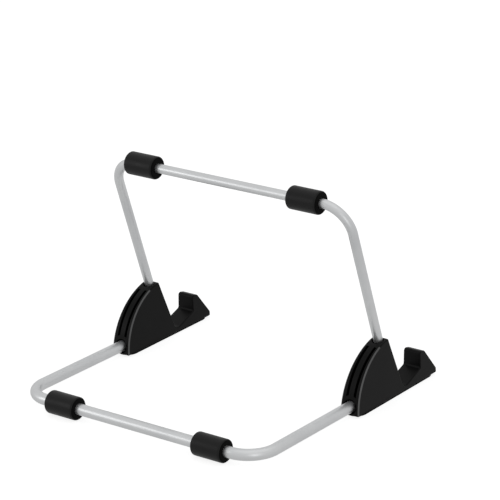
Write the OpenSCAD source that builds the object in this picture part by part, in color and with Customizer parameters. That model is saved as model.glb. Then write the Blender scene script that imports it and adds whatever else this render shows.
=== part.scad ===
// Knock-down tablet stand.
// Two bent aluminium U bars plug into a pair of moulded brackets. The lower bar
// lies along the table behind the brackets, the upper bar stands up from them and
// carries the back of the tablet, whose lower edge sits in the brackets' notches.
// +X is the user's right, -Y is the screen side, +Z is up and the table is z = 0.
// The origin is under the middle of the whole stand.

/* [Bars] */
// Diameter of the lower bar
lower_bar_d = 6; // [5:0.1:6.4]
// Diameter of the upper bar
upper_bar_d = 5; // [4:0.1:5.4]
// Distance between the two legs of a bar, centre to centre
leg_spacing = 150.4; // [120:0.2:180]
// Radius of the bends, on the bar's centreline
bend_r = 15.5; // [12:0.5:20]
// From the bracket's arc centre back to the lower crossbar's axis
base_reach = 112; // [90:0.1:130]
// Slope of the lower bar's legs, which rise a little towards the sleeves
leg_slope = 0.6; // [0:0.1:0.8]
// Height of the upper crossbar's axis above the table
upper_h = 111; // [90:0.5:130]
// Angle of the upper bar's arms above the table
arm_angle = 72.5; // [68:0.5:75]
// Where the arms' line meets the table, forward of the arc centre
arm_offset = 2.8; // [1:0.1:4]

/* [Sleeves] */
// Outer diameter of the rubber sleeves
sleeve_d = 12.2; // [11.6:0.1:13]
// Length of a sleeve
sleeve_l = 18.4; // [12:0.1:20]
// Rounding of a sleeve's ends
sleeve_edge_r = 1.1; // [0.5:0.1:2]
// Upper right sleeve, from the middle of the bar
upper_right_x = 54; // [35:0.1:54]
// Upper left sleeve, from the middle of the bar
upper_left_x = 50.4; // [35:0.1:54]
// Lower right sleeve, from the middle of the bar
lower_right_x = 46.9; // [35:0.1:54]
// Lower left sleeve, from the middle of the bar
lower_left_x = 47.9; // [35:0.1:54]

/* [Brackets] */
// Radius of the bracket's round back
arc_r = 34; // [31:0.1:36]
// Thickness of a bracket at the table
foot_t = 11.6; // [10.5:0.1:13]
// Thickness of a bracket at its top
top_t = 8.8; // [8.4:0.1:10]
// From the arc centre forward to the tip of the toe
toe_reach = 36.9; // [34:0.1:42]
// Angle of the notch's tall back wall above the table
wall_angle = 69.5; // [65:0.5:75]
// Distance between the notch's back wall and its lip
notch_w = 16.6; // [10:0.1:18]
// Height of the lip's top above the table
lip_h = 17.5; // [14:0.1:22]
// Width of each of the two slots in the round back
slot_w = 1.2; // [1:0.1:2]
// Depth of the slots
slot_depth = 9; // [4:0.5:10]
// Distance of a slot's middle from the bracket's middle
slot_offset = 2.25; // [2.1:0.05:2.4]

/* [Sockets] */
// How far a bar's end goes into its socket
socket_depth = 22; // [16:0.5:23]
// Clearance around a bar in its socket, on the radius
socket_gap = 0.05; // [0.02:0.01:0.1]

/* [Foot pads] */
// Thickness of the rubber strip under each bracket
pad_t = 1; // [0.6:0.1:1.2]
// How far the strip stands in from the bracket's sides
pad_inset = 0.3; // [0.2:0.1:1]

/* [Hidden] */
$fn = 96;
lower_bar_r = lower_bar_d / 2;
upper_bar_r = upper_bar_d / 2;
leg_x = leg_spacing / 2;
bar_end_chamfer = 0.5;
end_play = 0.05;
sleeve_r = sleeve_d / 2;
// Y of the arc centre, so that the stand's box is centred on the origin
hub_y = (toe_reach - base_reach - sleeve_r) / 2;
lower_y = hub_y + base_reach;
// Each bar is drawn flat. The lower one is tilted about its crossbar, and its legs meet the
// round back this far forward of it.
leg_foot = base_reach * cos(leg_slope) + sleeve_r * sin(leg_slope);
leg_run = leg_foot - sqrt(pow(leg_foot, 2) + pow(arc_r, 2) - pow(base_reach, 2) - pow(sleeve_r, 2));
leg_end = hundredths(leg_run + socket_depth);
// The upper one is tilted about the line where its arms meet the table
arm_foot_y = hub_y - arm_offset;
upper_run = hundredths(upper_h / sin(arm_angle));
arm_mouth = sqrt(pow(arc_r, 2) - pow(arm_offset * sin(arm_angle), 2)) + arm_offset * cos(arm_angle);
arm_end = hundredths(arm_mouth - socket_depth);
boss_wall = 2.8;
mouth_chamfer = 0.7;
// The lower mouths are opened out round the bar
recess_gap = 0.9;
recess_depth = 1.4;
socket_flare = 4;
// Corner of the notch, where its back wall and its floor would meet if sharp
notch_corner = [-7, 2.4];
notch_fillet = 3.5;
// The lip stands upright in front of the notch and falls away to the toe
lip_t = 4.6;
lip_drop = 1.2;
lip_root_r = 1.2;
lip_top_r = 1.6;
lip_front_r = 2;
toe_h = 3.6;
toe_top_r = 1.5;
toe_tip_r = 0.8;
pad_end_gap = 1;
slot_from = 8;
slot_to = 67;
beyond = 1;
round_steps = 10;
aluminium = [0.78, 0.79, 0.8];
plastic = [0.1, 0.1, 0.11];
rubber = [0.06, 0.06, 0.06];

// Unit vectors along the notch's back wall and, forward, along its floor
wall_dir = [cos(wall_angle), sin(wall_angle)];
floor_dir = [-sin(wall_angle), cos(wall_angle)];

function unit(v) = v / norm(v);

// Lengths that a bar is built up from are kept to whole hundredths, so that its pieces meet
function hundredths(v) = round(v * 100) / 100;

// Points that round the corner b of the path a-b-c to radius r
function rounded(a, b, c, r) =
    let (
        u = unit(a - b),
        v = unit(c - b),
        half = acos(u * v) / 2,
        centre = b + unit(u + v) * r / sin(half),
        from = b + u * r / tan(half) - centre,
        to = b + v * r / tan(half) - centre,
        start = atan2(from.y, from.x),
        turn = (atan2(to.y, to.x) - start + 540) % 360 - 180
    )
    [for (i = [0:round_steps])
        centre + r * [cos(start + turn * i / round_steps), sin(start + turn * i / round_steps)]];

// Side outline of a bracket: Y from the arc centre, and height. Each corner is [point, radius].
function bracket_corners() =
    let (
        // the wall's line is carried up past the round back, which trims it
        wall_top = notch_corner + wall_dir * 2 * arc_r,
        lip_root = notch_corner + floor_dir * notch_w,
        lip_top = [lip_root.x, lip_h],
        lip_front = lip_top - [lip_t, lip_drop]
    )
    [
        [[arc_r + beyond, wall_top.y], 0],
        [wall_top, 0],
        [notch_corner, notch_fillet],
        [lip_root, lip_root_r],
        [lip_top, lip_top_r],
        [lip_front, lip_front_r],
        [[-toe_reach, toe_h], toe_top_r],
        [[-toe_reach, pad_t], toe_tip_r],
        [[arc_r + beyond, pad_t], 0]
    ];

module bracket_outline() {
    c = bracket_corners();
    n = len(c);
    polygon([for (i = [0:n - 1])
        each c[i][1] == 0 ? [c[i][0]]
            : rounded(c[(i + n - 1) % n][0], c[i][0], c[(i + 1) % n][0], c[i][1])]);
}

// Turns a (Y, Z) drawing into a slab of width w, centred on x = 0
module slab(w) {
    rotate([90, 0, 90]) translate([0, 0, -w / 2]) linear_extrude(w) children();
}

// The bracket's sides lean in towards its top
module drafted_block() {
    tall = arc_r + 2 * beyond;
    top_half = foot_t / 2 - (foot_t - top_t) / 2 * tall / arc_r;
    translate([0, arc_r + 2 * beyond, 0]) rotate([90, 0, 0])
        linear_extrude(toe_reach + arc_r + 4 * beyond)
            polygon([[-foot_t / 2, 0], [foot_t / 2, 0], [top_half, tall], [-top_half, tall]]);
}

// Everything behind the toe stays inside the round back
module round_back() {
    rotate([0, 90, 0]) cylinder(r = arc_r, h = foot_t + 2 * beyond, center = true);
    translate([-foot_t, -toe_reach - beyond, -beyond])
        cube([2 * foot_t, toe_reach + beyond, lip_h + 2 * beyond]);
}

module lower_axis() {
    translate([0, base_reach, sleeve_r]) rotate([leg_slope - 90, 0, 0])
        translate([0, 0, -leg_end]) children();
}

module upper_axis() {
    translate([0, -arm_offset, 0]) rotate([arm_angle - 90, 0, 0]) translate([0, 0, arm_end]) children();
}

// A blind hole that the end of a bar of radius r plugs into, with a bevelled mouth
module socket(r) {
    cylinder(r = r + socket_gap, h = socket_depth + socket_flare);
    translate([0, 0, socket_depth - mouth_chamfer])
        cylinder(r1 = r + socket_gap, r2 = r + socket_gap + socket_flare, h = socket_flare);
}

// Shallow wider hole at the mouth of a lower socket
module recess() {
    translate([0, 0, socket_depth - recess_depth])
        cylinder(r = lower_bar_r + recess_gap, h = recess_depth + socket_flare);
}

// The wall left standing round a lower socket
module boss() {
    translate([0, 0, -boss_wall])
        cylinder(r = lower_bar_r + boss_wall, h = socket_depth + boss_wall + socket_flare);
}

// Two slots cored into the round back, which stop at the wall round the lower socket
module slots() {
    difference() {
        for (side = [-1, 1])
            translate([side * slot_offset, 0, 0]) rotate([90, 0, 90]) rotate([0, 0, slot_from])
                rotate_extrude(angle = slot_to - slot_from)
                    translate([arc_r - slot_depth, -slot_w / 2]) square([slot_depth + beyond, slot_w]);
        lower_axis() boss();
    }
}

module bracket() {
    color(plastic) translate([0, hub_y, 0]) difference() {
        intersection() {
            slab(foot_t + 2 * beyond) bracket_outline();
            drafted_block();
            round_back();
        }
        slots();
        lower_axis() {
            socket(lower_bar_r);
            recess();
        }
        upper_axis() socket(upper_bar_r);
    }
}

// Strip with rounded ends, under the whole length of a bracket
module foot_pad() {
    half_w = foot_t / 2 - pad_inset;
    front = -toe_reach + half_w + pad_end_gap;
    back = arc_r - half_w - pad_end_gap;
    color(rubber) translate([0, hub_y, 0]) union() {
        translate([0, front, 0]) cylinder(r = half_w, h = pad_t);
        translate([0, back, 0]) cylinder(r = half_w, h = pad_t);
        translate([-half_w, front, 0]) cube([2 * half_w, back - front, pad_t]);
    }
}

// U bar of radius r in the XY plane: crossbar along X at y = reach, legs forward to y = end
module u_bar(r, reach, end) {
    straight = leg_x - bend_r;
    translate([0, reach, 0]) rotate([0, 90, 0]) cylinder(r = r, h = 2 * straight, center = true);
    for (side = [0, 1]) mirror([side, 0, 0]) {
        translate([straight, reach - bend_r, 0])
            rotate_extrude(angle = 90) translate([bend_r, 0]) circle(r = r);
        translate([leg_x, end, 0]) rotate([-90, 0, 0]) {
            cylinder(r1 = r - bar_end_chamfer, r2 = r, h = bar_end_chamfer);
            translate([0, 0, bar_end_chamfer])
                cylinder(r = r, h = reach - bend_r - end - bar_end_chamfer);
        }
    }
}

module lower_bar_shape() {
    translate([0, lower_y, sleeve_r]) rotate([leg_slope, 0, 0])
        u_bar(lower_bar_r, 0, end_play - leg_end);
}

module upper_bar_shape() {
    translate([0, arm_foot_y, 0]) rotate([arm_angle, 0, 0])
        u_bar(upper_bar_r, upper_run, arm_end + end_play);
}

// Rubber tube's outside, along X, with rounded ends
module sleeve_body() {
    half = sleeve_l / 2;
    rotate([0, 90, 0]) rotate_extrude() union() {
        translate([0, -half]) square([sleeve_r - sleeve_edge_r, sleeve_l]);
        translate([0, -half + sleeve_edge_r]) square([sleeve_r, sleeve_l - 2 * sleeve_edge_r]);
        for (end = [-1, 1])
            translate([sleeve_r - sleeve_edge_r, end * (half - sleeve_edge_r)]) circle(r = sleeve_edge_r);
    }
}

// The stretched rubber takes the shape of the bar that it grips
module lower_sleeve(x) {
    color(rubber) difference() {
        translate([x, lower_y, sleeve_r]) sleeve_body();
        lower_bar_shape();
    }
}

module upper_sleeve(x) {
    color(rubber) difference() {
        translate([0, arm_foot_y, 0]) rotate([arm_angle, 0, 0]) translate([x, upper_run, 0]) sleeve_body();
        upper_bar_shape();
    }
}

module lower_bar() { color(aluminium) lower_bar_shape(); }
module upper_bar() { color(aluminium) upper_bar_shape(); }
module left_bracket() { translate([-leg_x, 0, 0]) bracket(); }
module right_bracket() { translate([leg_x, 0, 0]) bracket(); }
module left_foot_pad() { translate([-leg_x, 0, 0]) foot_pad(); }
module right_foot_pad() { translate([leg_x, 0, 0]) foot_pad(); }
module upper_left_sleeve() { upper_sleeve(-upper_left_x); }
module upper_right_sleeve() { upper_sleeve(upper_right_x); }
module lower_left_sleeve() { lower_sleeve(-lower_left_x); }
module lower_right_sleeve() { lower_sleeve(lower_right_x); }

lower_bar();
upper_bar();
left_bracket();
right_bracket();
left_foot_pad();
right_foot_pad();
upper_left_sleeve();
upper_right_sleeve();
lower_left_sleeve();
lower_right_sleeve();
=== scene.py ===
"""Tablet stand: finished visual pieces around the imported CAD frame.

Lengths are in metres. +X is the user's right, +Y is behind the stand, +Z is up and the table is z = 0.
Every CAD node is replaced by a piece of the same size with its edges, slots and ends finished.
"""

import math

import bmesh
import bpy
from mathutils import Matrix, Vector


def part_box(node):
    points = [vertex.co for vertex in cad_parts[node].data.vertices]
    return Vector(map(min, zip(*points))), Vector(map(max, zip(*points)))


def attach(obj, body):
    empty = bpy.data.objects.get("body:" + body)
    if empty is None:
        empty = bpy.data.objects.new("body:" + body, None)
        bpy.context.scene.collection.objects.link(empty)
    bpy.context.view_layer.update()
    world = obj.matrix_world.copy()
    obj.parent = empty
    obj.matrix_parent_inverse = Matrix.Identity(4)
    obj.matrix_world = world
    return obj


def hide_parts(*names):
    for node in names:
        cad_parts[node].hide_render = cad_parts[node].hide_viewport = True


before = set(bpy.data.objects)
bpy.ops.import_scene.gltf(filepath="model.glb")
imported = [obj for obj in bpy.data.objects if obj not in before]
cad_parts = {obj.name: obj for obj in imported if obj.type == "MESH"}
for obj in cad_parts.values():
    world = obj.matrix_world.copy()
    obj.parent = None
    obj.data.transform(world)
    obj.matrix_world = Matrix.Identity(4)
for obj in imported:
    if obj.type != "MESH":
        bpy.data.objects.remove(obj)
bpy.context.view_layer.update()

MM = 0.001

# Camera: direction from the stand, point it looks at, distance and lens
CAMERA_AZIMUTH = 217.911
CAMERA_ELEVATION = 20.072
CAMERA_ROLL = -1.98
CAMERA_AIM = Vector((-7.61, -16.39, 73.68)) * MM
CAMERA_DISTANCE = 1.3731
CAMERA_LENS = 192.55
SENSOR_WIDTH = 36.0

# Studio surroundings: greys straight below and straight above
WORLD_BELOW = 0.6
WORLD_ABOVE = 0.75

# Bars
LOWER_BAR_R = 3.0 * MM
UPPER_BAR_R = 2.5 * MM
BEND_R = 15.5 * MM
BASE_REACH = 112.0 * MM
LEG_SLOPE = math.radians(0.6)
END_PLAY = 0.05 * MM
BAR_END_CHAMFER = 0.5 * MM
BAR_SIDES = 64
LEG_STEPS = 24
BEND_STEPS = 40
HALF_BAR_STEPS = 16
BEND_FLATTENING = 0.015
# A bar's end is rounded off by rings, each (how much thinner than the bar, how far back)
BAR_END_RINGS = [(BAR_END_CHAMFER, 0.0), (0.06 * MM, BAR_END_CHAMFER * 0.9), (0.0, BAR_END_CHAMFER * 1.2)]
ARM_ANGLE = math.radians(72.5)

# Sleeves
SLEEVE_EDGE_R = 1.1 * MM
SLEEVE_BORE_EDGE = 0.25 * MM
SLEEVE_BORE_GAP = 0.01 * MM
SLEEVE_SIDES = 96
BORE_EDGE_STEPS = 5
SLEEVE_EDGE_STEPS = 10
SLEEVE_BODY_STEPS = 6
# Faces that lean further than this towards the bar's direction are the cut ends
CUT_END_LEAN = 0.85

# Brackets, measured from the centre of the round back
ARC_R = 34.0 * MM
FOOT_T = 11.6 * MM
TOP_T = 8.8 * MM
TOE_REACH = 36.9 * MM
TOE_H = 3.6 * MM
WALL_ANGLE = math.radians(69.5)
NOTCH_CORNER = Vector((-7.0, 2.4)) * MM
NOTCH_FILLET = 3.5 * MM
NOTCH_W = 16.6 * MM
LIP_H = 17.5 * MM
LIP_T = 4.6 * MM
LIP_DROP = 1.2 * MM
BACK_TOP_R = 0.8 * MM
LIP_ROOT_R = 1.2 * MM
LIP_TOP_R = 1.6 * MM
LIP_FRONT_R = 2.0 * MM
TOE_TOP_R = 1.5 * MM
TOE_TIP_R = 0.8 * MM
CORNER_STEPS = 10
BACK_STEPS = 60
SLOT_W = 1.2 * MM
SLOT_DEPTH = 9.0 * MM
SLOT_ANGLES = math.radians(8), math.radians(67)
SLOT_OFFSET = 2.25 * MM
SOCKET_DEPTH = 22.0 * MM
SOCKET_GAP = 0.05 * MM
SOCKET_CORNER = 0.3 * MM
SOCKET_SIDES = 72
BOSS_WALL = 2.8 * MM
MOUTH_CHAMFER = 0.7 * MM
MOUTH_FLARE = 4.0 * MM
RECESS_GAP = 0.9 * MM
RECESS_DEPTH = 1.4 * MM
ARM_OFFSET = 2.8 * MM
HEEL_R = 0.25 * MM
SIDE_EDGE_R = 0.6 * MM
SLOT_BEVEL = 0.17 * MM
SLOT_STEPS = 48
BEYOND = 1.0 * MM
EDGE_STEPS = 5
# Finishes of a bracket: its skin is 0, then the finish with painted shade inside its slots and sockets,
# then the finish with a painted highlight on its back edges
SHADE_PAINT_FINISH = 1
HIGHLIGHT_PAINT_FINISH = 2
# The painted highlight starts this far behind the centre of the round back, on faces that lean sideways
HIGHLIGHT_PAINT_FROM = 12.0 * MM
HIGHLIGHT_PAINT_LEAST_LEAN = 0.08
HIGHLIGHT_PAINT_MOST_LEAN = 0.99
# Weight of the flat faces where their normals are evened out
FLAT_FACE_WEIGHT = 80
# A sharp corner is moved inwards by no more than the inset divided by this
LEAST_CORNER_LEAN = 0.5

# Foot pads: a strip, and cross ribs on its underside
RIB_H = 0.3 * MM
RIB_ROOT = 0.1 * MM
RIB_PITCH = 2.4 * MM
RIB_HALF_W = 0.65 * MM
RIB_EDGE = 0.2 * MM
RIB_END_GAP = 0.7 * MM
PAD_TOP_EDGE = 0.15 * MM
PAD_BOTTOM_EDGE = 0.25 * MM
PAD_END_STEPS = 16

# Sharpest turn between neighbouring faces that still looks smooth, in degrees
BAR_SMOOTH = 25
MOULDED_SMOOTH = 40

# Black materials: name, the greys of the cloudy colour, specular level, least and most roughness
PLASTIC_SKIN = ("moulded_black_plastic", (0.0013, 0.0021), 0.11, 0.3, 0.42)
# Painted shade: the walls inside the slots and sockets in near-black plastic with almost no specular
PLASTIC_PAINTED_SHADE = ("black_plastic_painted_shade", (0.0004, 0.0008), 0.02, 0.5, 0.6)
# Painted highlight: the back edges in a much lighter, glossier grey than the skin
PLASTIC_PAINTED_HIGHLIGHT = ("black_plastic_painted_highlight", (0.07, 0.105), 0.3, 0.3, 0.4)
SLEEVE_SKIN = ("sleeve_rubber", (0.0022, 0.0036), 0.24, 0.34, 0.46)
# The cut ends: matt rubber, darker than the skin as painted shade
SLEEVE_CUT_PAINTED_SHADE = ("cut_sleeve_rubber_painted_shade", (0.0014, 0.0022), 0.06, 0.6, 0.75)
# Foot pads: black rubber, darkened further and almost without specular to paint the shade line along the
# brackets' bottom edges
PAD_RUBBER_PAINTED_SHADE = ("pad_rubber", (0.0004, 0.0008), 0.01, 0.6, 0.75)
# Aluminium: darkest and lightest colour, least and most roughness
METAL_DARK = (0.70, 0.71, 0.72)
METAL_LIGHT = (0.76, 0.77, 0.775)
METAL_ROUGHNESS = 0.33, 0.43
# Noise scales of the surface textures, and of the wide clouds in their colour
BLAST_SCALE = 5200
MOULD_SCALE = 2600
RUBBER_SCALE = 1800
METAL_CLOUD = 60
PLASTIC_CLOUD = 90
RUBBER_CLOUD = 140
# Heights of the bumps
BLAST_BUMP = 0.012 * MM
MOULD_BUMP = 0.02 * MM
RUBBER_BUMP = 0.015 * MM
RUBBER_SMEAR = 0.05 * MM
# Band of the noise that is spread over a material's range
NOISE_LOW = 0.3
NOISE_HIGH = 0.7

# Soft lights: name, place, point it faces, width, height, watts
SOFTBOXES = [
    ("overhead", (-0.2, 0.1, 1.3), (0, 0, 0), 1.6, 1.6, 1.1),
    ("left_softbox", (0.62, 0.62, 0.32), (0, 0, 0.03), 0.3, 0.4, 0.5),
    ("right_softbox", (-0.8, 0.62, 0.22), (0, 0, 0.03), 0.35, 0.5, 0.4),
]
FLOOR_HALF = 6.0
FLOOR_GREY = 0.3
FLOOR_GLOW = 0.84


# ---------------------------------------------------------------- mesh helpers

def new_object(name, mesh):
    piece = bpy.data.objects.new(name, mesh)
    bpy.context.scene.collection.objects.link(piece)
    return piece


def mesh_object(name, points, faces):
    mesh = bpy.data.meshes.new(name)
    mesh.from_pydata([tuple(p) for p in points], [], faces)
    mesh.validate()
    mesh.update()
    bm = bmesh.new()
    bm.from_mesh(mesh)
    bmesh.ops.recalc_face_normals(bm, faces=bm.faces)
    bm.to_mesh(mesh)
    bm.free()
    return new_object(name, mesh)


def bridge(rings, count, closed=False):
    """Quads between neighbouring rings of count points; the end rings are capped unless closed."""
    faces = []
    spans = len(rings) if closed else len(rings) - 1
    for k in range(spans):
        a = k * count
        b = ((k + 1) % len(rings)) * count
        for i in range(count):
            j = (i + 1) % count
            faces.append((a + i, a + j, b + j, b + i))
    if not closed:
        faces.append(tuple(range(count)))
        faces.append(tuple(range((len(rings) - 1) * count, len(rings) * count)))
    return faces


def rings_object(name, rings, closed=False):
    points = [p for ring in rings for p in ring]
    return mesh_object(name, points, bridge(rings, len(rings[0]), closed))


def shade(piece, sharp_angle):
    """Smooth faces, with edges steeper than sharp_angle kept crisp."""
    bm = bmesh.new()
    bm.from_mesh(piece.data)
    limit = math.radians(sharp_angle)
    for face in bm.faces:
        face.smooth = True
    for edge in bm.edges:
        edge.smooth = len(edge.link_faces) == 2 and edge.calc_face_angle(0) < limit
    bm.to_mesh(piece.data)
    bm.free()


def apply_modifiers(piece):
    graph = bpy.context.evaluated_depsgraph_get()
    done = bpy.data.meshes.new_from_object(piece.evaluated_get(graph))
    old = piece.data
    piece.modifiers.clear()
    piece.data = done
    done.name = piece.name
    bpy.data.meshes.remove(old)


def cut(piece, tools):
    """Takes the tools' shapes out of the piece and deletes the tools."""
    for tool in tools:
        step = piece.modifiers.new("cut", "BOOLEAN")
        step.operation = "DIFFERENCE"
        step.solver = "EXACT"
        step.object = tool
    apply_modifiers(piece)
    for tool in tools:
        bpy.data.objects.remove(tool)


def even_normals(piece):
    """Large flat faces keep their own direction where they meet a rounded edge."""
    step = piece.modifiers.new("normals", "WEIGHTED_NORMAL")
    step.keep_sharp = True
    step.weight = FLAT_FACE_WEIGHT


def turned(name, profile, matrix):
    """Solid of revolution about matrix's Z axis. profile is a list of (radius, height), axis to axis."""
    points = []
    faces = []
    rings = []
    sides = SOCKET_SIDES
    for radius, height in profile:
        if radius < 1e-9:
            rings.append([len(points)])
            points.append(matrix @ Vector((0, 0, height)))
            continue
        rings.append(list(range(len(points), len(points) + sides)))
        for i in range(sides):
            a = 2 * math.pi * i / sides
            points.append(matrix @ Vector((radius * math.cos(a), radius * math.sin(a), height)))
    for low, high in zip(rings, rings[1:]):
        for i in range(sides):
            j = (i + 1) % sides
            if len(low) == 1:
                faces.append((low[0], high[j], high[i]))
            elif len(high) == 1:
                faces.append((low[i], low[j], high[0]))
            else:
                faces.append((low[i], low[j], high[j], high[i]))
    return mesh_object(name, points, faces)


# ---------------------------------------------------------------- bars

def u_path(leg_x, reach, end):
    """Points of a U in its own plane, from the right leg's end round to the left's.

    Each is (x, along, outward normal, share of the bend's flattening).
    """
    straight = leg_x - BEND_R
    half = [(leg_x, end, (1.0, 0.0), 0.0)]
    top = reach - BEND_R
    for i in range(1, LEG_STEPS):
        half.append((leg_x, end + (top - end) * i / LEG_STEPS, (1.0, 0.0), 0.0))
    for i in range(BEND_STEPS + 1):
        a = math.pi / 2 * i / BEND_STEPS
        n = (math.cos(a), math.sin(a))
        half.append((straight + BEND_R * n[0], top + BEND_R * n[1], n, math.sin(2 * a)))
    for i in range(1, HALF_BAR_STEPS + 1):
        half.append((straight * (1 - i / HALF_BAR_STEPS), reach, (0.0, 1.0), 0.0))
    other = [(-x, y, (-n[0], n[1]), f) for x, y, n, f in half[:-1]]
    return half + other[::-1]


def bar(name, radius, leg_x, reach, end, place):
    """A bent round bar. place turns (x, along, out of plane) into a point of the frame."""
    path = u_path(leg_x, reach, end)
    last = len(path) - 1
    rings = []

    def ring(k, r, shift):
        x, y, n, flat = path[k]
        r_in = r * (1 - BEND_FLATTENING * flat)
        out = []
        for i in range(BAR_SIDES):
            a = 2 * math.pi * i / BAR_SIDES
            c = math.cos(a) * r_in
            out.append(place(x + n[0] * c, y + n[1] * c + shift, math.sin(a) * r))
        return out

    for k in range(last + 1):
        if k in (0, last):
            for thinner, shift in (BAR_END_RINGS if k == 0 else BAR_END_RINGS[::-1]):
                rings.append(ring(k, radius - thinner, shift))
        else:
            rings.append(ring(k, radius, 0.0))
    piece = rings_object(name, rings)
    shade(piece, BAR_SMOOTH)
    return piece


def leg_end():
    """Distance from the lower crossbar's axis forward to the bottom of a lower socket."""
    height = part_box("lower_bar")[1].z - LOWER_BAR_R
    foot = BASE_REACH * math.cos(LEG_SLOPE) + height * math.sin(LEG_SLOPE)
    run = foot - math.sqrt(foot ** 2 + ARC_R ** 2 - BASE_REACH ** 2 - height ** 2)
    return run + SOCKET_DEPTH


def make_lower_bar():
    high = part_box("lower_bar")[1]
    back = high.y - LOWER_BAR_R
    height = high.z - LOWER_BAR_R
    c = math.cos(LEG_SLOPE)
    s = math.sin(LEG_SLOPE)
    return bar("lower_u_bar", LOWER_BAR_R, high.x - LOWER_BAR_R, 0.0, END_PLAY - leg_end(),
               lambda x, y, n: (x, back + y * c - n * s, height + y * s + n * c))


def make_upper_bar():
    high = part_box("upper_bar")[1]
    axis_y = high.y - UPPER_BAR_R
    axis_h = high.z - UPPER_BAR_R
    reach = axis_h / math.sin(ARM_ANGLE)
    foot = axis_y - axis_h / math.tan(ARM_ANGLE)
    end = arm_mouth() - SOCKET_DEPTH + END_PLAY
    c = math.cos(ARM_ANGLE)
    s = math.sin(ARM_ANGLE)
    return bar("upper_u_bar", UPPER_BAR_R, high.x - UPPER_BAR_R, reach, end,
               lambda x, y, n: (x, foot + y * c - n * s, y * s + n * c))


def arm_mouth():
    """Distance up the arm's line from the table to the round back."""
    across = ARM_OFFSET * math.sin(ARM_ANGLE)
    return math.sqrt(ARC_R ** 2 - across ** 2) + ARM_OFFSET * math.cos(ARM_ANGLE)


# ---------------------------------------------------------------- sleeves

def make_sleeve(node, bar_radius, finishes):
    """Rubber tube with soft ends, stretched over the bar. Its cut ends have the second finish: matt, and
    darker as painted shade.
    """
    low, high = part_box(node)
    centre = (low + high) / 2
    radius = (high.z - low.z) / 2
    half = (high.x - low.x) / 2
    edge = SLEEVE_EDGE_R
    bore = bar_radius + SLEEVE_BORE_GAP
    profile = [(bore, 0.0), (bore, half - 2 * SLEEVE_BORE_EDGE)]
    for i in range(BORE_EDGE_STEPS + 1):
        a = math.pi / 2 * i / BORE_EDGE_STEPS
        profile.append((bore + SLEEVE_BORE_EDGE * (1 - math.cos(a)),
                        half - SLEEVE_BORE_EDGE * (1 - math.sin(a))))
    for i in range(SLEEVE_EDGE_STEPS + 1):
        a = math.pi / 2 * i / SLEEVE_EDGE_STEPS
        profile.append((radius - edge + edge * math.sin(a), half - edge + edge * math.cos(a)))
    for i in range(1, SLEEVE_BODY_STEPS + 1):
        profile.append((radius, (half - edge) * (1 - i / SLEEVE_BODY_STEPS)))
    other = [(r, -h) for r, h in profile[1:-1]]
    ring_profile = profile + other[::-1]
    rings = []
    for i in range(SLEEVE_SIDES):
        a = 2 * math.pi * i / SLEEVE_SIDES
        rings.append([(centre.x + h, centre.y + r * math.cos(a), centre.z + r * math.sin(a))
                      for r, h in ring_profile])
    piece = rings_object(node + "_tube", rings, closed=True)
    for finish in finishes:
        piece.data.materials.append(finish)
    for face in piece.data.polygons:
        # the cut ends get the rubber darkened with painted shade
        face.material_index = int(abs(face.normal.x) > CUT_END_LEAN)
    shade(piece, MOULDED_SMOOTH)
    return piece


# ---------------------------------------------------------------- brackets

def rounded(a, b, c, radius):
    """Points that round the corner b of the path a-b-c."""
    if radius == 0:
        return [b]
    u = (a - b).normalized()
    v = (c - b).normalized()
    half = math.acos(max(-1.0, min(1.0, u.dot(v)))) / 2
    centre = b + (u + v).normalized() * (radius / math.sin(half))
    start = b + u * (radius / math.tan(half)) - centre
    stop = b + v * (radius / math.tan(half)) - centre
    a0 = math.atan2(start.y, start.x)
    turn = (math.atan2(stop.y, stop.x) - a0 + 3 * math.pi) % (2 * math.pi) - math.pi
    angles = [a0 + turn * i / CORNER_STEPS for i in range(CORNER_STEPS + 1)]
    return [centre + Vector((math.cos(a), math.sin(a))) * radius for a in angles]


def wall_meets_arc():
    """Where the notch's back wall runs out into the round back."""
    d = Vector((math.cos(WALL_ANGLE), math.sin(WALL_ANGLE)))
    b = NOTCH_CORNER.dot(d)
    c = NOTCH_CORNER.length_squared - ARC_R ** 2
    return NOTCH_CORNER + d * (-b + math.sqrt(b * b - c))


def bracket_outline(floor_z):
    """Side outline in (Y from the arc's centre, Z), with the round back as an arc."""
    wall_dir = Vector((math.cos(WALL_ANGLE), math.sin(WALL_ANGLE)))
    floor_dir = Vector((-wall_dir.y, wall_dir.x))
    lip_root = NOTCH_CORNER + floor_dir * NOTCH_W
    lip_top = Vector((lip_root.x, LIP_H))
    lip_front = lip_top + Vector((-LIP_T, -LIP_DROP))
    top = wall_meets_arc()
    heel = Vector((math.sqrt(ARC_R ** 2 - floor_z ** 2), floor_z))
    top_a = math.atan2(top.y, top.x)
    heel_a = math.atan2(heel.y, heel.x)
    angles = [heel_a + (top_a - heel_a) * i / BACK_STEPS for i in range(BACK_STEPS + 1)]
    arc = [Vector((math.cos(a), math.sin(a))) * ARC_R for a in angles]
    corners = [
        (arc[-1], BACK_TOP_R),
        (NOTCH_CORNER, NOTCH_FILLET),
        (lip_root, LIP_ROOT_R),
        (lip_top, LIP_TOP_R),
        (lip_front, LIP_FRONT_R),
        (Vector((-TOE_REACH, TOE_H)), TOE_TOP_R),
        (Vector((-TOE_REACH, floor_z)), TOE_TIP_R),
        (arc[0], HEEL_R),
    ]
    # the arc's own points stop short of the two corners that round its ends
    outline = []
    for i, (corner, radius) in enumerate(corners):
        before = arc[-4] if i == 0 else corners[i - 1][0]
        after = arc[1] if i == len(corners) - 1 else corners[i + 1][0]
        outline += rounded(before, corner, after, radius)
    return outline + arc[1:-3]


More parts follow.
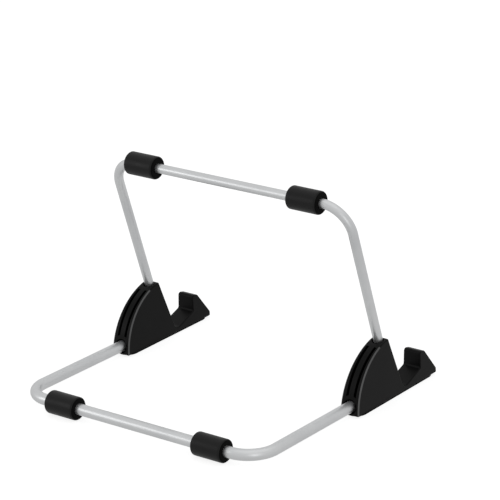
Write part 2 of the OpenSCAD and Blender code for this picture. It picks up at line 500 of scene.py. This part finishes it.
def inset(outline, distance):
    """The closed outline moved inwards; it runs anticlockwise seen with +Y right and +Z up."""
    count = len(outline)
    out = []
    for i, p in enumerate(outline):
        u = (p - outline[i - 1]).normalized()
        v = (outline[(i + 1) % count] - p).normalized()
        n = Vector((-u.y - v.y, u.x + v.x)).normalized()
        lean = max(LEAST_CORNER_LEAN, n.dot(Vector((-u.y, u.x))))
        out.append(p + n * (distance / lean))
    return out


def signed_area(outline):
    return sum(a.x * b.y - b.x * a.y for a, b in zip(outline, outline[1:] + outline[:1])) / 2


def half_thickness(z):
    return FOOT_T / 2 - (FOOT_T - TOP_T) / 2 * z / ARC_R


def bracket_body(name, x, hub_y, floor_z):
    outline = bracket_outline(floor_z)
    if signed_area(outline) < 0:
        outline.reverse()
    rings = []
    for side in (-1, 1):
        layers = []
        for k in range(EDGE_STEPS + 1):
            a = math.pi / 2 * k / EDGE_STEPS
            depth = SIDE_EDGE_R * (1 - math.sin(a))
            pulled = inset(outline, SIDE_EDGE_R * (1 - math.cos(a)))
            layers.append([(x + side * (half_thickness(p.y) - depth), hub_y + p.x, p.y) for p in pulled])
        # a = 0 is the side where the rounding meets the back, a = 90 degrees is the flat face
        rings += layers[::-1] if side < 0 else layers
    return rings_object(name, rings)


def paint_back_edge_highlight(piece, hub_y):
    """The narrow faces that round the edges of the round back get the finish with a painted highlight."""
    for face in piece.data.polygons:
        around = Vector((face.center.y - hub_y, face.center.z))
        lean = abs(face.normal.x)
        leans = HIGHLIGHT_PAINT_LEAST_LEAN < lean < HIGHLIGHT_PAINT_MOST_LEAN
        if leans and ARC_R - around.length < SIDE_EDGE_R and around.x > HIGHLIGHT_PAINT_FROM:
            # these faces get the painted highlight
            face.material_index = HIGHLIGHT_PAINT_FINISH


def slot_cutter(x, hub_y):
    """Curved blade that leaves a slot along the round back, with bevelled lips."""
    half = SLOT_W / 2
    lip = ARC_R - SLOT_BEVEL
    outside = ARC_R + BEYOND
    wide = half + outside - lip
    section = [(-half, ARC_R - SLOT_DEPTH), (half, ARC_R - SLOT_DEPTH), (half, lip),
               (wide, outside), (-wide, outside), (-half, lip)]
    low, high = SLOT_ANGLES
    rings = []
    for i in range(SLOT_STEPS + 1):
        a = low + (high - low) * i / SLOT_STEPS
        rings.append([(x + across, hub_y + r * math.cos(a), r * math.sin(a)) for across, r in section])
    return rings_object("slot_cutter", rings)


def lower_axis(x):
    """Matrix whose Z axis runs back out of the lower socket, from the socket's bottom."""
    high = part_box("lower_bar")[1]
    base = Matrix.Translation((x, high.y - LOWER_BAR_R, high.z - LOWER_BAR_R))
    return base @ Matrix.Rotation(LEG_SLOPE - math.pi / 2, 4, "X") @ Matrix.Translation((0, 0, -leg_end()))


def upper_axis(x, hub_y):
    """Matrix whose Z axis runs up out of the upper socket, from the socket's bottom."""
    start = arm_mouth() - SOCKET_DEPTH
    base = Matrix.Translation((x, hub_y - ARM_OFFSET, 0)) @ Matrix.Rotation(ARM_ANGLE - math.pi / 2, 4, "X")
    return base @ Matrix.Translation((0, 0, start))


def socket_cutter(radius, matrix, mouth):
    """Blind hole for a bar's end. mouth is the profile of its outer end, from the bore outwards."""
    r = radius + SOCKET_GAP
    bottom = [(0, 0), (r - SOCKET_CORNER, 0), (r, SOCKET_CORNER)]
    return turned("socket_cutter", bottom + mouth + [(0, mouth[-1][1])], matrix)


def lower_mouth():
    """The lower mouths are opened out round the bar."""
    bore = LOWER_BAR_R + SOCKET_GAP
    rim = LOWER_BAR_R + RECESS_GAP
    floor = SOCKET_DEPTH - RECESS_DEPTH
    outside = SOCKET_DEPTH + MOUTH_FLARE
    return [(bore, floor), (rim, floor), (rim, outside)]


def upper_mouth():
    """The upper mouths have a plain bevel."""
    bore = UPPER_BAR_R + SOCKET_GAP
    start = SOCKET_DEPTH - MOUTH_CHAMFER
    return [(bore, start), (bore + MOUTH_FLARE, start + MOUTH_FLARE)]


def boss_shape(matrix):
    """The wall left standing round a lower socket, which stops the slots."""
    r = LOWER_BAR_R + BOSS_WALL
    outside = SOCKET_DEPTH + MOUTH_FLARE
    return turned("boss_shape", [(0, -BOSS_WALL), (r, -BOSS_WALL), (r, outside), (0, outside)], matrix)


def with_painted_shade(tool, finishes):
    """Faces that the tool leaves in a piece get the finish darkened with painted shade."""
    for finish in finishes:
        tool.data.materials.append(finish)
    for face in tool.data.polygons:
        face.material_index = SHADE_PAINT_FINISH
    return tool


def make_bracket(node, finishes):
    low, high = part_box(node)
    x = (low.x + high.x) / 2
    hub_y = low.y + TOE_REACH
    piece = bracket_body(node + "_moulding", x, hub_y, low.z)
    for finish in finishes:
        piece.data.materials.append(finish)
    paint_back_edge_highlight(piece, hub_y)
    into_base = lower_axis(x)
    into_arm = upper_axis(x, hub_y)
    for side in (-1, 1):
        blade = slot_cutter(x + side * SLOT_OFFSET, hub_y)
        cut(blade, [boss_shape(into_base)])
        cut(piece, [with_painted_shade(blade, finishes)])
    for tool in (socket_cutter(LOWER_BAR_R, into_base, lower_mouth()),
                 socket_cutter(UPPER_BAR_R, into_arm, upper_mouth())):
        cut(piece, [with_painted_shade(tool, finishes)])
    shade(piece, MOULDED_SMOOTH)
    even_normals(piece)
    return piece


def make_pad(node):
    """Rubber strip with rounded ends and a ribbed underside."""
    low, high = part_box(node)
    half_w = (high.x - low.x) / 2
    x = (low.x + high.x) / 2
    # the ribs are rooted a little way into the strip
    root = RIB_H + RIB_ROOT

    def ring(z, pull):
        r = half_w - pull
        points = []
        for end, a0 in ((high.y - half_w, 0.0), (low.y + half_w, math.pi)):
            for i in range(PAD_END_STEPS + 1):
                a = a0 + math.pi * i / PAD_END_STEPS
                points.append((x + r * math.cos(a), end + r * math.sin(a), z))
        return points

    layers = [(RIB_H, PAD_BOTTOM_EDGE), (RIB_H, 0.0), (high.z - PAD_TOP_EDGE, 0.0), (high.z, PAD_TOP_EDGE)]
    piece = rings_object(node + "_strip", [ring(z, pull) for z, pull in layers])
    length = high.y - low.y - 2 * half_w
    count = int(length / RIB_PITCH)
    start = (low.y + high.y) / 2 - RIB_PITCH * (count - 1) / 2
    w = RIB_HALF_W
    r = RIB_EDGE
    reach = half_w - RIB_END_GAP
    section = [(-w, root), (-w, r), (-w + r, low.z), (w - r, low.z), (w, r), (w, root)]
    bm = bmesh.new()
    bm.from_mesh(piece.data)
    for i in range(count):
        y = start + RIB_PITCH * i
        left = [bm.verts.new((x - reach, y + a, z)) for a, z in section]
        right = [bm.verts.new((x + reach, y + a, z)) for a, z in section]
        for k in range(len(section)):
            j = (k + 1) % len(section)
            bm.faces.new((left[k], left[j], right[j], right[k]))
        bm.faces.new(left)
        bm.faces.new(right)
    bmesh.ops.recalc_face_normals(bm, faces=bm.faces)
    bm.to_mesh(piece.data)
    bm.free()
    shade(piece, MOULDED_SMOOTH)
    return piece


# ---------------------------------------------------------------- materials

class Nodes:
    """Short way to write a node tree."""

    def __init__(self, name):
        self.material = bpy.data.materials.new(name)
        self.material.use_nodes = True
        self.tree = self.material.node_tree
        self.shader = self.tree.nodes["Principled BSDF"]
        self.place = self.add("ShaderNodeTexCoord").outputs["Object"]

    def add(self, kind):
        return self.tree.nodes.new(kind)

    def link(self, a, b):
        self.tree.links.new(a, b)

    def noise(self, scale, detail, roughness=0.5):
        node = self.add("ShaderNodeTexNoise")
        node.inputs["Scale"].default_value = scale
        node.inputs["Detail"].default_value = detail
        node.inputs["Roughness"].default_value = roughness
        self.link(self.place, node.inputs["Vector"])
        return node.outputs["Fac"]

    def spread(self, value, low, high):
        node = self.add("ShaderNodeMapRange")
        node.inputs["From Min"].default_value = NOISE_LOW
        node.inputs["From Max"].default_value = NOISE_HIGH
        node.inputs["To Min"].default_value = low
        node.inputs["To Max"].default_value = high
        self.link(value, node.inputs["Value"])
        return node.outputs["Result"]

    def ramp(self, value, dark, light):
        node = self.add("ShaderNodeValToRGB")
        stops = [(NOISE_LOW, dark), (NOISE_HIGH, light)]
        for element, (at, colour) in zip(node.color_ramp.elements, stops):
            element.position = at
            element.color = (*colour, 1)
        self.link(value, node.inputs["Fac"])
        return node.outputs["Color"]

    def bump(self, height, distance, strength, after=None):
        node = self.add("ShaderNodeBump")
        node.inputs["Strength"].default_value = strength
        node.inputs["Distance"].default_value = distance
        self.link(height, node.inputs["Height"])
        if after:
            self.link(after, node.inputs["Normal"])
        return node.outputs["Normal"]


def aluminium():
    """Bead-blasted and clear-anodised aluminium."""
    n = Nodes("blasted_aluminium")
    cloud = n.noise(METAL_CLOUD, 3)
    grain = n.noise(BLAST_SCALE, 2, 0.6)
    colour = n.ramp(cloud, METAL_DARK, METAL_LIGHT)
    n.link(colour, n.shader.inputs["Base Color"])
    n.shader.inputs["Metallic"].default_value = 1.0
    n.link(n.spread(grain, *METAL_ROUGHNESS), n.shader.inputs["Roughness"])
    n.link(n.bump(grain, BLAST_BUMP, 0.5), n.shader.inputs["Normal"])
    return n.material


def black_plastic(name, greys, specular, rough_low, rough_high):
    """Moulded black plastic with a fine spark-eroded texture."""
    n = Nodes(name)
    texture = n.noise(MOULD_SCALE, 3, 0.6)
    cloud = n.noise(PLASTIC_CLOUD, 2)
    colour = n.ramp(cloud, (greys[0],) * 3, (greys[1],) * 3)
    n.link(colour, n.shader.inputs["Base Color"])
    n.shader.inputs["Specular IOR Level"].default_value = specular
    n.link(n.spread(texture, rough_low, rough_high), n.shader.inputs["Roughness"])
    n.link(n.bump(texture, MOULD_BUMP, 0.6), n.shader.inputs["Normal"])
    return n.material


def black_rubber(name, greys, specular, rough_low, rough_high):
    """Black rubber, fine-grained and a little cloudy."""
    n = Nodes(name)
    texture = n.noise(RUBBER_SCALE, 4, 0.6)
    cloud = n.noise(RUBBER_CLOUD, 3)
    colour = n.ramp(cloud, (greys[0],) * 3, (greys[1],) * 3)
    n.link(colour, n.shader.inputs["Base Color"])
    n.shader.inputs["Specular IOR Level"].default_value = specular
    n.link(n.spread(cloud, rough_low, rough_high), n.shader.inputs["Roughness"])
    smear = n.bump(cloud, RUBBER_SMEAR, 0.5)
    n.link(n.bump(texture, RUBBER_BUMP, 0.5, after=smear), n.shader.inputs["Normal"])
    return n.material


# ---------------------------------------------------------------- stage

def make_floor():
    half = FLOOR_HALF
    floor = mesh_object("floor", [(-half, -half, 0), (half, -half, 0), (half, half, 0), (-half, half, 0)],
                        [(0, 1, 2, 3)])
    n = Nodes("pale_floor")
    n.shader.inputs["Base Color"].default_value = (FLOOR_GREY, FLOOR_GREY, FLOOR_GREY, 1)
    n.shader.inputs["Roughness"].default_value = 0.9
    n.shader.inputs["Specular IOR Level"].default_value = 0.0
    n.shader.inputs["Emission Color"].default_value = (1, 1, 1, 1)
    n.shader.inputs["Emission Strength"].default_value = FLOOR_GLOW
    floor.data.materials.append(n.material)
    floor.visible_glossy = False
    floor.visible_diffuse = False


def area_light(name, location, aim, width, height, power):
    data = bpy.data.lights.new(name, "AREA")
    data.shape = "RECTANGLE"
    data.size = width
    data.size_y = height
    data.energy = power
    lamp = bpy.data.objects.new(name, data)
    bpy.context.scene.collection.objects.link(lamp)
    lamp.location = location
    lamp.rotation_euler = (Vector(aim) - Vector(location)).to_track_quat("-Z", "Y").to_euler()


def make_world():
    """Plain studio surroundings that change evenly from the floor's grey to the ceiling's."""
    world = bpy.data.worlds.new("studio")
    bpy.context.scene.world = world
    world.use_nodes = True
    tree = world.node_tree
    direction = tree.nodes.new("ShaderNodeTexCoord").outputs["Generated"]
    split = tree.nodes.new("ShaderNodeSeparateXYZ")
    tree.links.new(direction, split.inputs["Vector"])
    grey = tree.nodes.new("ShaderNodeMapRange")
    grey.inputs["From Min"].default_value = -1
    grey.inputs["To Min"].default_value = WORLD_BELOW
    grey.inputs["To Max"].default_value = WORLD_ABOVE
    tree.links.new(split.outputs["Z"], grey.inputs["Value"])
    tree.links.new(grey.outputs["Result"], tree.nodes["Background"].inputs["Color"])


def make_camera():
    a, e = math.radians(CAMERA_AZIMUTH), math.radians(CAMERA_ELEVATION)
    back = Vector((math.sin(a) * math.cos(e), -math.cos(a) * math.cos(e), math.sin(e)))
    data = bpy.data.cameras.new("camera")
    data.sensor_width = SENSOR_WIDTH
    data.lens = CAMERA_LENS
    data.clip_start = 0.05
    data.clip_end = 50
    camera = bpy.data.objects.new("camera", data)
    bpy.context.scene.collection.objects.link(camera)
    camera.rotation_mode = "QUATERNION"
    camera.location = CAMERA_AIM + back * CAMERA_DISTANCE
    turn = (-back).to_track_quat("-Z", "Y").to_matrix() @ Matrix.Rotation(math.radians(CAMERA_ROLL), 3, "Z")
    camera.rotation_quaternion = turn.to_quaternion()
    bpy.context.scene.camera = camera


# ---------------------------------------------------------------- assembly

def place_piece(piece, body, node, material=None):
    if material:
        piece.data.materials.clear()
        piece.data.materials.append(material)
    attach(piece, body)
    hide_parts(node)


def main():
    bpy.context.scene.view_settings.view_transform = "Standard"
    make_camera()
    make_world()
    make_floor()
    for softbox in SOFTBOXES:
        area_light(*softbox)

    metal = aluminium()
    # the skin, then black plastic with painted shade for slots and sockets, then with a painted highlight
    # for the back edges
    finishes = [black_plastic(*values) for values in (PLASTIC_SKIN, PLASTIC_PAINTED_SHADE, PLASTIC_PAINTED_HIGHLIGHT)]
    sleeve_rubber = [black_rubber(*values) for values in (SLEEVE_SKIN, SLEEVE_CUT_PAINTED_SHADE)]
    pad_rubber = black_rubber(*PAD_RUBBER_PAINTED_SHADE)

    place_piece(make_lower_bar(), "lower_frame", "lower_bar", metal)
    place_piece(make_upper_bar(), "upper_frame", "upper_bar", metal)
    for side in ("left", "right"):
        bracket = side + "_bracket"
        pad = side + "_foot_pad"
        place_piece(make_bracket(bracket, finishes), "brackets", bracket)
        place_piece(make_pad(pad), "brackets", pad, pad_rubber)
        upper = "upper_" + side + "_sleeve"
        lower = "lower_" + side + "_sleeve"
        place_piece(make_sleeve(upper, UPPER_BAR_R, sleeve_rubber), "upper_frame", upper)
        place_piece(make_sleeve(lower, LOWER_BAR_R, sleeve_rubber), "lower_frame", lower)


main()
